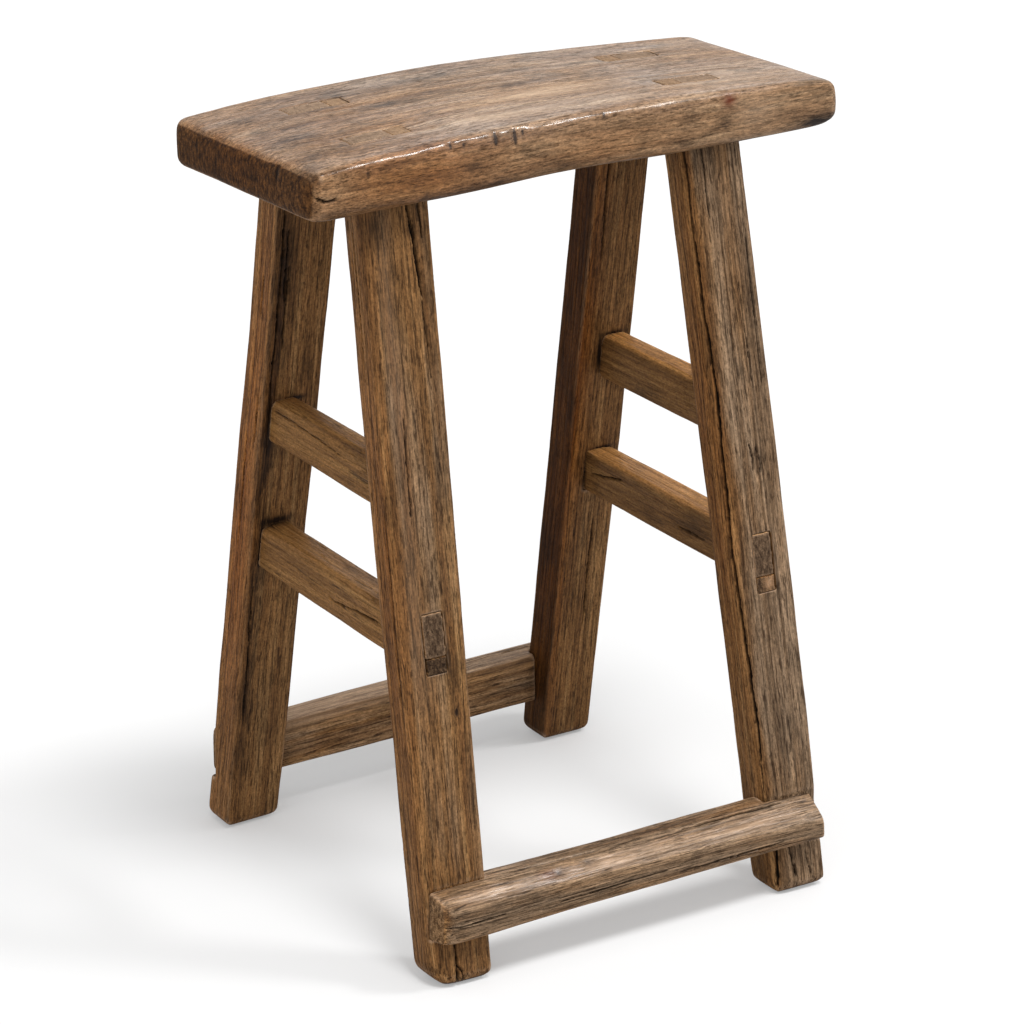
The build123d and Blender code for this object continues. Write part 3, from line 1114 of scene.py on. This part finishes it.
SEAT_ELM = ElmFinish(
    "aged_seat_elm", "elm_seat", roughness=0.62, bump=0.6, polish_roughness=0.2,
    deep=(122, 88, 60), middle=(160, 124, 90), light=(192, 158, 122), grey_deep=(124, 98, 80),
    grey=(186, 162, 140), polish=(206, 176, 146), ring_depth=0.2, streak_width=6 * MM,
    streak_length=70 * MM, fibre_width=1.4 * MM, fibre_length=9 * MM, fibre_depth=0.55,
    pore_length=6 * MM, pore_share=0.55, rub=0.2, blotch_depth=0.42, end_deep=(54, 35, 21),
    end_light=(116, 82, 50))
LEG_ELM = ElmFinish("aged_leg_elm", "elm_leg", polish=(192, 162, 134), end_deep=(76, 60, 48),
                    end_light=(122, 101, 84))
RAIL_ELM = ElmFinish(
    "aged_rail_elm", "elm_rail", pore_width=0.62 * MM, pore_length=16 * MM, pore_share=0.8,
    fibre_depth=0.7, end_deep=(86, 62, 40), end_light=(140, 108, 76))
END_RAIL_ELM = ElmFinish(
    "golden_rail_elm", "elm_rail", deep=(103, 69, 35), middle=(140, 99, 55), light=(169, 126, 74),
    ring_depth=0.12, fibre_width=1.1 * MM, fibre_length=24 * MM, fibre_depth=0.36, pore_share=0.24,
    blotch_depth=0.28, end_deep=(62, 46, 33), end_light=(108, 86, 66))
WEDGE_ELM = ElmFinish("aged_wedge_elm", "elm_wedge", end_deep=(82, 61, 44),
                      end_light=(136, 108, 80), rub=0.1)

# What wear and hand work did to each piece, placed where the photograph shows it. The rows of
# dents, checks and marks follow the fields of their classes, after the face or the stain.
SEAT = dict(
    voxel=1.08 * MM, squeeze=0.6, reach=8, seed=1, hair_splits=120.0, relief=0.12 * MM,
    # The top's grey and pale patches are partly painted sheen; the dark underside is painted shadow
    unevenness=0.9 * MM, age={TOP: 0.5, FRONT: 0.08, BACK: 0.1, UNDER: 0.2, LEFT: 0.1},
    shade={TOP: 0.14, LEFT: 0.28, UNDER: 0.45, FRONT: 0.22},
    wax={TOP: 0.6, FRONT: 0.3, LEFT: 0, UNDER: 0, None: 0.1},
    shaves=(Shave((0, -0.078, 0.5226), (0, -1, 1), 1.6 * MM),
        Shave((0, -0.078, 0.489), (0, -1, -1), 1.6 * MM),
        Shave((-0.201, 0, 0.515), (-1, 0, 1), 1.8 * MM),
        Shave((0.195, 0, 0.5206), (1, 0, 1.6), 2.4 * MM),
        Shave((0.201, 0, 0.51), (1.6, 0, 1), 2.4 * MM),
        Shave((0.1925, 0, 0.489), (1, 0, -1.6), 2.4 * MM),
        Shave((-0.1985, -0.0755, 0.5), (-1, -1, 0), 1.8 * MM)),
    dents={FRONT: (((-77, 14.5, -91.5), (4, 3, 1.7), 1.6, 0.8),
            ((-77.5, 13.8, -81.5), (3, 2.5, 1.7), 1.2, 0.7),
            ((-77, 13.8, -58.5), (4, 5, 2), 2.4, 0.9), ((-77.4, 13.2, -44.5), (4, 6, 1.7), 2.6, 1),
            ((-77, 14.4, -38.5), (4, 3, 1.8), 1.6, 0.8),
            ((-76.5, 16, 23), (3, 2.5, 1.8), 1.4, 0.8), ((-77.9, 8, -151.5), (4, 5, 2), 0.9, 0.7),
            ((-77, -12.5, 182), (8, 6, 18), 1.2, 0)),
        LEFT: (((-74.7, 10.5, -198), (4, 4, 4), 1.8, 0.9),
            ((-46, 5, -200), (1.7, 6, 6), 2.4, 1.8)),
        TOP: (((-52, 18, -81), (3, 3, 9), 0.5, 0.5), ((-78, 17, -120), (8, 4, 12), 0.7, 0),
            ((-78, 17, -20), (8, 4, 14), 0.7, 0), ((-78, 17, 60), (8, 4, 16), 0.6, 0))},
    checks={FRONT: ((1.6, ((-1, -197), (-4, -192), (-3, -180))),)},
    marks={KNOT: (((-77.8, 11.5, 118.8), (6, 4.5, 6), 1),),
        SMUDGE: (((-78, -2.9, 116.3), (6, 6, 8), 0.75), ((-78, 3, 88.7), (6, 10, 10), 0.45),
            ((-60, 16, -150), (26, 8, 50), 0.3), ((0, 17, -140), (80, 10, 80), 0.12),
            ((-78, -2, -130), (6, 18, 90), 0.3), ((-77.5, -13, 184), (8, 6, 17), 1.7),
            ((28, 17, -150), (30, 9, 45), 0.46), ((50, 18, -60), (20, 8, 80), 0.42),
            ((12, 18, -85), (9, 6, 60), 0.46), ((-16, 15, -165), (20, 8, 26), 0.44),
            ((-45, 16, -176), (14, 8, 18), 0.3), ((10, 19, 30), (5, 6, 60), 0.32),
            ((36, 19, 20), (6, 6, 50), 0.3), ((58, 19, 60), (12, 8, 90), 0.34),
            ((5, 18, 120), (7, 6, 40), 0.26), ((-38, 19, 118), (9, 6, 30), 0.18),
            ((-78, -14, -60), (6, 5, 100), 0.4), ((-78, -6, 20), (6, 9, 30), 0.22),
            ((-78, 0, -76), (6, 6, 9), 0.35)),
        # Pale patches on the top: burnished wear, and partly a painted sheen
        PALE: (((-78, 2, 140), (6, 12, 20), 0.22), ((-22, 19, 20), (13, 6, 60), 0.55),
            ((-54, 19, -20), (12, 6, 80), 0.4), ((-48, 18, 130), (20, 6, 50), 0.3)),
        AMBER: (((0, 17, -140), (80, 10, 80), 0.4), ((-76, 0, -120), (16, 30, 75), 0.85),
            ((-76, -6, 20), (16, 16, 60), 0.4), ((0, 0, -201), (90, 26, 14), 0.6)),
        WAXED: (((-74, 16, -75), (9, 8, 110), 1.6), ((-74, 16, 90), (8, 7, 90), 1))})

LEGS = {
    "front_left": dict(
        wax={FRONT: 0.15, LEFT: 0.12}, age={FRONT: 0.46, LEFT: 0.08},
        shade={FRONT: 0.2, LEFT: 0.05},
        pushes={LEFT: (0.3, 0.8, 1.8, 2, 2.2), RIGHT: (0.4, 0.6, 1.2, 1.4, 1.6)},
        shaves=(Shave((-0.141, 0, 0), (-1, 0, -1), 1.8 * MM, -1, 0.05, 20 * MM),
            Shave((-0.1463, -0.1553, 0), (-1, -1, 0.2065), 2.0 * MM),
            Shave((-0.1423, -0.1513, 0), (-1, -1, -0.4), 2.2 * MM, -1, 0.04, 25 * MM)),
        checks={FRONT: ((2.6, ((7.3, 487), (9.2, 470.7), (9.4, 460.8), (11.4, 443.2),
                (11.7, 430.3))),
                (1.1, ((11.4, 428), (12.6, 402), (13.2, 380))),
                (1.5, ((14.9, 487), (15.3, 464.1))), (1, ((-7.5, 360.2), (-8, 292.2))),
                (2.7, ((-5.6, 34), (-5, 25), (-5.4, 13), (-4.3, 1))),
                (1.7, ((-5.2, 16), (-1.2, 9), (-0.6, 1)))),
            LEFT: ((1, ((2, 470), (3, 380))), (1, ((-5, 300), (-4, 180))))},
        dents={FRONT: (((10.5, -15, 174), (1.8, 3, 3.4), 1.4, 1),
                ((-15.3, -15, 415.9), (2.2, 3, 7), 0.9, 0.8))},
        # Under the seat and round the mortise the darkest marks are painted shadow; elsewhere grime
        marks={SMUDGE: (((-15, -13, 476), (9, 9, 13), 0.9), ((12, -15, 330), (8, 5, 50), 0.35),
                ((-13, -15, 330), (5, 5, 22), 0.35), ((4, -15, 262), (9, 5, 20), 0.25),
                ((8.2, -15, 219), (1.5, 4, 24), 0.9), ((0, -15, 238), (10, 4, 1.8), 0.8),
                ((-7.6, -15, 219), (1.3, 4, 22), 0.5), ((0, -15, 200.5), (9, 4, 1.6), 0.6)),
            PALE: (((-11, -15, 400), (5, 6, 90), 0.18), ((-12, -15, 250), (5, 6, 70), 0.14)),
            AMBER: (((-21, 0, 250), (10, 18, 240), 0.5), ((-8, -15, 330), (3, 6, 60), 0.6))}),
    "front_right": dict(
        wax={FRONT: 0.15}, age={FRONT: 0.66, LEFT: 0.25}, shade={LEFT: 0.14, FRONT: 0.08},
        pushes={RIGHT: (-1.6, 0.4, 1.6, 1.8, 2)},
        shaves=(Shave((0.1095, 0, 0), (-1, 0, -0.35), 1.2 * MM, -1, 0.045, 20 * MM),
            Shave((0.1127, -0.1543, 0), (-1, -1, 0.1656), 2.2 * MM)),
        checks={LEFT: ((1.7, ((-8.9, 487), (-9.3, 463), (-8.3, 430), (-8, 385), (-9.5, 335),
                (-8.6, 278), (-7.4, 225), (-8.8, 180), (-9.7, 130), (-9.4, 95), (-9.8, 66))),),
            FRONT: ((1.1, ((-9.8, 487), (-9.8, 438.9))),
                (2, ((-14.8, 31), (-15.5, 20), (-16.8, 4))), (1.6, ((-6.1, 32), (-3.1, 10))),
                (1.3, ((6.5, 26), (8.8, 9))), (1.3, ((-1, 297), (1, 288), (0, 279))),
                (1.1, ((4, 293), (6, 284), (5, 276))), (1, ((15, 440), (14, 330))),
                (1, ((6, 400), (7, 330))))},
        dents={FRONT: (((2, -15, 286), (5, 4, 6), 0.6, 0.3),)},
        # Under the seat and round the mortise the darkest marks are painted shadow; elsewhere grime
        marks={SMUDGE: (((-10, -15, 480), (10, 6, 9), 0.5), ((15, -15, 390), (5, 5, 80), 0.45),
                ((4, -15, 395), (8, 5, 14), 0.3), ((2, -15, 286), (8, 5, 9), 0.35),
                ((0, -15, 110), (24, 6, 70), 0.36), ((8.6, -15, 219), (1.4, 4, 22), 0.7),
                ((0, -15, 239), (9, 4, 1.8), 0.7), ((-7.8, -15, 219), (1.3, 4, 22), 0.7)),
            AMBER: (((-21, 0, 300), (9, 16, 180), 0.5),)}),
    "back_left": dict(
        age={LEFT: 0.05, FRONT: 0.15}, shade={LEFT: -0.06, FRONT: 0.18},
        pushes={LEFT: (0.8, 1.4, 1.4, 0.9, 2.4)},
        checks={FRONT: ((1.7, ((-15.7, 478), (-14.5, 430), (-14, 381.3), (-15, 330), (-14, 285))),
                (1.4, ((-11, 445), (-10.5, 395))), (1.3, ((-9, 420), (-9.5, 360))),
                (1.4, ((-15, 190), (-14, 80)))),
            LEFT: ((1.5, ((-1.5, 412), (-1.1, 384))), (1.3, ((-7.5, 330), (-7.5, 296))),
                (1, ((3, 300), (2, 215))))},
        # Inner arris band: grime, and painted shadow under the seat; joint lines: painted shadow
        marks={AMBER: (((-21, 0, 250), (10, 18, 240), 0.9),),
            SMUDGE: (((-14, -14, 420), (10, 5, 90), 0.8), ((-15, -14, 290), (8, 5, 60), 0.75),
                ((-14, -14, 180), (8, 5, 70), 0.7), ((-14, -14, 80), (8, 6, 50), 0.6),
                ((4, -14, 90), (14, 6, 60), 0.28), ((-6, -14, 480), (18, 6, 14), 0.6),
                ((-20, 0, 80), (8, 15, 80), 0.4), ((0, -14, 237.5), (11, 6, 3.2), 1.8),
                ((3, -14, 325.5), (9, 6, 2), 1.7), ((-11.8, -14, 310), (1.6, 6, 15), 1.5),
                ((-12.5, -14, 222), (1.6, 6, 18), 1.5))}),
    "back_right": dict(
        age={LEFT: 0}, wax={LEFT: 0}, pushes={RIGHT: (0, 0.4, 1.2, 0.6, 0)},
        # Painted shadow: a darker leg, its left face darkest and kept warm by amber, and the joint
        # lines
        shade={None: 0.22, LEFT: 0.74},
        checks={FRONT: ((1.3, ((-12, 470), (-11, 380))), (1.3, ((4, 180), (5, 90))))},
        marks={SMUDGE: (((-12, -14, 150), (10, 6, 60), 0.5), ((6, -14, 325), (10, 6, 2), 1.7),
                ((4.5, -14, 236.5), (10, 6, 2), 1.7), ((-5, -14, 310), (1.6, 6, 15), 1.5),
                ((-6.5, -14, 220), (1.6, 6, 16), 1.5)),
            AMBER: (((-21, 0, 250), (12, 24, 300), 1.6),)})}

# Painted light on the rails' tops; painted shadow on their sides and at the right rails' ends
END_RAILS = {
    "upper_end_rail_left": dict(
        wax={TOP: 0.3}, age={None: 0.15}, shade={TOP: -0.05, LEFT: 0.1},
        pushes={TOP: (3.6, 3.2), UNDER: (-1.4, -1.4)},
        marks={SMUDGE: (((0, 15, 73), (16, 5, 4), 1.4),)},
        shaves=(Shave((-0.1382, 0, 0.3215), (-1, 0, 1), 1.6 * MM, -0.075, 0.06, 18 * MM),),
        checks={LEFT: ((0.7, ((9, 66), (8, 20), (6, -30))),)}),
    "upper_end_rail_right": dict(
        wax={TOP: 0.3}, age={None: 0.05}, shade={TOP: -1.2, LEFT: 0.34}, hair_splits=0.0,
        pushes={TOP: (1.6, 1.6), UNDER: (1.8, 1.8)},
        marks={SMUDGE: (((0, 15, 73), (16, 5, 4), 1.5), ((-10, 0, 73), (5, 16, 3), 1.3),
                ((-10, -8, 10), (5, 9, 30), 0.3))}),
    "lower_end_rail_left": dict(
        wax={TOP: 0.3}, age={None: 0.12}, shade={TOP: -0.05, LEFT: 0.1},
        pushes={TOP: (1.2, 1.2), UNDER: (-1.8, -1.8)},
        marks={SMUDGE: (((0, 18, 86), (16, 6, 7), 1.7),)},
        checks={LEFT: ((1.4, ((-3.8, -10), (-3.8, -18.1), (1.3, -75.4))),)}),
    "lower_end_rail_right": dict(
        wax={TOP: 0.3}, age={None: 0.05}, shade={TOP: -0.85, LEFT: 0.36}, hair_splits=0.0,
        pushes={TOP: (2.6, 2.6), UNDER: (-3.6, -3.4)},
        marks={SMUDGE: (((0, 18, 88), (16, 5, 4), 1.3), ((-10, 0, 88), (5, 18, 3), 1.1),
                ((-10, -4, -40), (5, 10, 20), 0.4))},
        checks={LEFT: ((1.6, ((-0.4, 77.6), (7.2, 37.2))), (1.5, ((-4.7, -30.8), (-4, -62))))})}

LONG_RAILS = {
    "long_rail_front": dict(
        slides=(2.2 * MM, -7.5 * MM), seed=31, wax={TOP: 0.5, FRONT: 0.25},
        age={TOP: 0.6, FRONT: 0.68}, shade={TOP: 0.05, FRONT: 0.05, LEFT: -0.1},
        pushes={TOP: (-1.2, -1, 0.2), UNDER: (0.5, -3, -4.4)},
        shaves=(Shave((-0.15, -0.1627, 0.06), (0.03, -0.62, 0.78), 1.6 * MM),
            Shave((-0.146, -0.158, 0.05), (-1, -1, 0), 2.4 * MM)),
        dents={TOP: (((-6.1, 13, -58.6), (4, 4, 5), 1.2, 0.7),
                ((-5, 13.5, -35.2), (4, 4, 5), 1, 0.7),
                ((-6, 13, 95), (5, 5, 14), 0.8, 0)),
            FRONT: (((-9, 8, -100), (5, 6, 12), 0.8, 0), ((-9, 8.5, 5), (5, 6, 10), 0.9, 0.2),
                ((-11, 4, 60), (6, 8, 16), 0.7, 0))},
        checks={FRONT: ((1.3, ((-4, -145), (-3, -100))), (1.1, ((-6, -60), (-5, 20))),
                (1.5, ((-9, 30), (-8, 110)))),
            TOP: ((1.1, ((3, -90), (2, -20))), (1.1, ((1, 40), (2, 120))))},
        marks={WAXED: (((-9, 12, -70), (7, 6, 70), 0.9), ((-9, 12, 95), (7, 6, 50), 1.1)),
            PALE: (((-8, 11, -110), (6, 6, 35), 0.5), ((-8, 11, -15), (6, 6, 45), 0.6),
                ((-8, 11, 90), (7, 7, 50), 0.65)),
            KNOT: (((-6, 13, -66), (5, 4, 8), 0.5),),
            SMUDGE: (((-12, -8, 60), (5, 6, 60), 0.35),)}),
    "long_rail_back": dict(
        slides=(8.0 * MM, 2.0 * MM), seed=32, wax={TOP: 0.4}, age={TOP: 0.9, None: 0.5},
        # Painted light: the top is made lighter here and by the pale marks below
        shade={TOP: -0.9},
        pushes={TOP: (0.4, 1.2, 1.6), UNDER: (2.4, 2.6, 2.6)},
        marks={PALE: (((0, 15, -70), (30, 6, 110), 0.6), ((0, 15, 110), (30, 6, 50), 0.3)),
            SMUDGE: (((-12, -3, 90), (8, 14, 60), 0.4),)},
        checks={TOP: ((1.6, ((-0.4, 88), (-0.4, 117))),)})}
SEAT_TENON_ROW = ((0, 0, 525), (60, 60, 7), 0.46)
SEAT_WEDGE_ROW = ((0, 0, 524), (60, 60, 8), 0.42)
RAIL_WEDGES = {
    "front_left": {SMUDGE: (((0, 0, -118), (40, 40, 9), 0.75),)},
    "front_right": {PALE: (((3, 1, -118), (4, 4, 9), 0.6),),
                    AMBER: (((3, 1, -118), (5, 5, 9), 1),),
                    SMUDGE: (((-5, 1, -118), (3, 7, 9), 1.3),)}}


class Stool:
    """The whole stool as its sub-assemblies."""

    WEDGE_VOXEL = 0.6 * MM

    def __init__(self) -> None:
        """Prepare the tree."""
        self.tree = WeatherTree()

    def wedges(self, kind: str, along: Along, seed: int, marks: dict) -> list:
        """A wedge beside or under each tenon of one kind.

        Args:
            kind: The first word of the wedges' nodes.
            along: The axis of their grain.
            seed: The seed of the first one.
            marks: Their marks by corner.

        Returns:
            The wedges.
        """
        return [Wedge(f"{kind}_wedge_{corner}", along, WEDGE_ELM, voxel=self.WEDGE_VOXEL,
                      seed=seed + i, hair_splits=0.0, reach=4, marks=marks.get(corner, {}))
                for i, corner in enumerate(LEGS)]

    def seat(self) -> list:
        """The slab and its four wedges."""
        marks = dict.fromkeys(LEGS, {PALE: (SEAT_WEDGE_ROW,)})
        return [Seat("seat", Along.X, SEAT_ELM, **SEAT)] + self.wedges("seat", Along.Z, 2, marks)

    def legs(self) -> list:
        """The four legs, each with its own hand-cut departures and a pale tenon top."""
        made = []
        for seed, (corner, facts) in enumerate(LEGS.items(), 10):
            leg = Leg(f"leg_{corner}", Along.Z, LEG_ELM, seed=seed, **facts)
            leg.marks = {**leg.marks, PALE: (SEAT_TENON_ROW, *leg.marks.get(PALE, ()))}
            made.append(leg)
        return made

    def end_rails(self) -> list:
        """The upper and lower rails of both sides, and the wedges of the lower ones."""
        made = [EndRail(node, Along.Y, END_RAIL_ELM, seed=seed, **facts)
                for seed, (node, facts) in enumerate(END_RAILS.items(), 20)]
        return made + self.wedges("rail", Along.Y, 26, RAIL_WEDGES)

    def long_rails(self) -> list:
        """The front and back rails low down."""
        return [LongRail(node, Along.X, RAIL_ELM, **facts) for node, facts in LONG_RAILS.items()]

    def build(self) -> None:
        """Build every piece on its finish."""
        materials: dict = {}
        for timber in self.seat() + self.legs() + self.end_rails() + self.long_rails():
            finish = timber.finish
            if finish.name not in materials:
                materials[finish.name] = finish.material()
            timber.build(self.tree, materials[finish.name])


@dataclass
class Studio:
    """The pale floor, the soft lights and the camera.

    Angles are in degrees, the lens and the sensor in millimetres, and the rest in metres. A lamp is
    written as its name, the direction that it shines from, its strength and its angle.
    """

    azimuth: float = -32.66
    elevation: float = 20.83
    roll: float = -0.34
    distance: float = 2.30107
    aim: tuple = (0.00215, -0.00232, 0.24366)
    lens: float = 123.39
    sensor: float = 36.0
    floor_size: float = 16.0
    floor_height: float = -0.2 * MM
    floor_colour: tuple = (0.54, 0.54, 0.54, 1.0)
    floor_white: float = 0.27
    world_light: float = 0.55
    lamps: tuple = (
        ("key", (0.0, -0.36, 1.0), 1.65, 16.0),
        ("glint", (0.5, -0.33, 0.76), 0.85, 9.0),
        ("right", (0.55, -0.33, 0.76), 0.5, 60.0),
        ("fill", (-0.75, -0.75, 0.55), 0.75, 50.0))

    def camera(self) -> None:
        """Place the camera at the photograph's angle."""
        a, e, r = (math.radians(v) for v in (self.azimuth, self.elevation, self.roll))
        back = Vector((math.sin(a) * math.cos(e), -math.cos(a) * math.cos(e), math.sin(e)))
        right = Vector((math.cos(a), math.sin(a), 0.0))
        up = back.cross(right)
        turned = (right * math.cos(r) + up * math.sin(r), up * math.cos(r) - right * math.sin(r))
        matrix = Matrix((turned[0], turned[1], back)).transposed().to_4x4()
        matrix.translation = Vector(self.aim) + back * self.distance
        data = bpy.data.cameras.new("camera")
        data.lens = self.lens
        data.sensor_width = self.sensor
        camera = add_object("camera", data)
        camera.matrix_world = matrix
        bpy.context.scene.camera = camera

    def floor(self) -> None:
        """A pale floor that shows white and keeps the stool's shadow."""
        half, z = self.floor_size / 2, self.floor_height
        mesh = bpy.data.meshes.new("floor")
        mesh.from_pydata([(-half, -half, z), (half, -half, z), (half, half, z), (-half, half, z)],
                         [], [(0, 1, 2, 3)])
        floor = add_object("floor", mesh)
        material = bpy.data.materials.new("floor_paper")
        g = Graph.of(material)
        matt = g.node("ShaderNodeBsdfDiffuse", {}, {"Color": self.floor_colour})
        glow = g.node("ShaderNodeEmission", {}, {
            "Color": WHITE, "Strength": g.seen() * self.floor_white})
        g.end("ShaderNodeOutputMaterial", g.node("ShaderNodeAddShader", {}, {0: matt, 1: glow}))
        mesh.materials.append(material)

    def lights(self) -> None:
        """The lamps, and an even world that shows white."""
        for name, towards, strength, angle in self.lamps:
            data = bpy.data.lights.new(name, "SUN")
            data.energy = strength
            data.angle = math.radians(angle)
            lamp = add_object(name, data)
            lamp.rotation_euler = Vector(towards).to_track_quat("Z", "Y").to_euler()
        world = bpy.data.worlds.new("studio")
        bpy.context.scene.world = world
        g = Graph.of(world)
        g.end("ShaderNodeOutputWorld", g.node("ShaderNodeBackground", {}, {
            "Color": WHITE, "Strength": g.step(g.seen(), 0.0, 1.0, self.world_light, 1.0)}))

    def build(self) -> None:
        """Set up the whole studio."""
        self.camera()
        self.floor()
        self.lights()
        bpy.context.scene.view_settings.view_transform = "Standard"


def main() -> None:
    """Build the studio and the stool."""
    logging.basicConfig(level=logging.INFO, format="%(message)s")
    Studio().build()
    Stool().build()


if __name__ == "__main__":
    main()
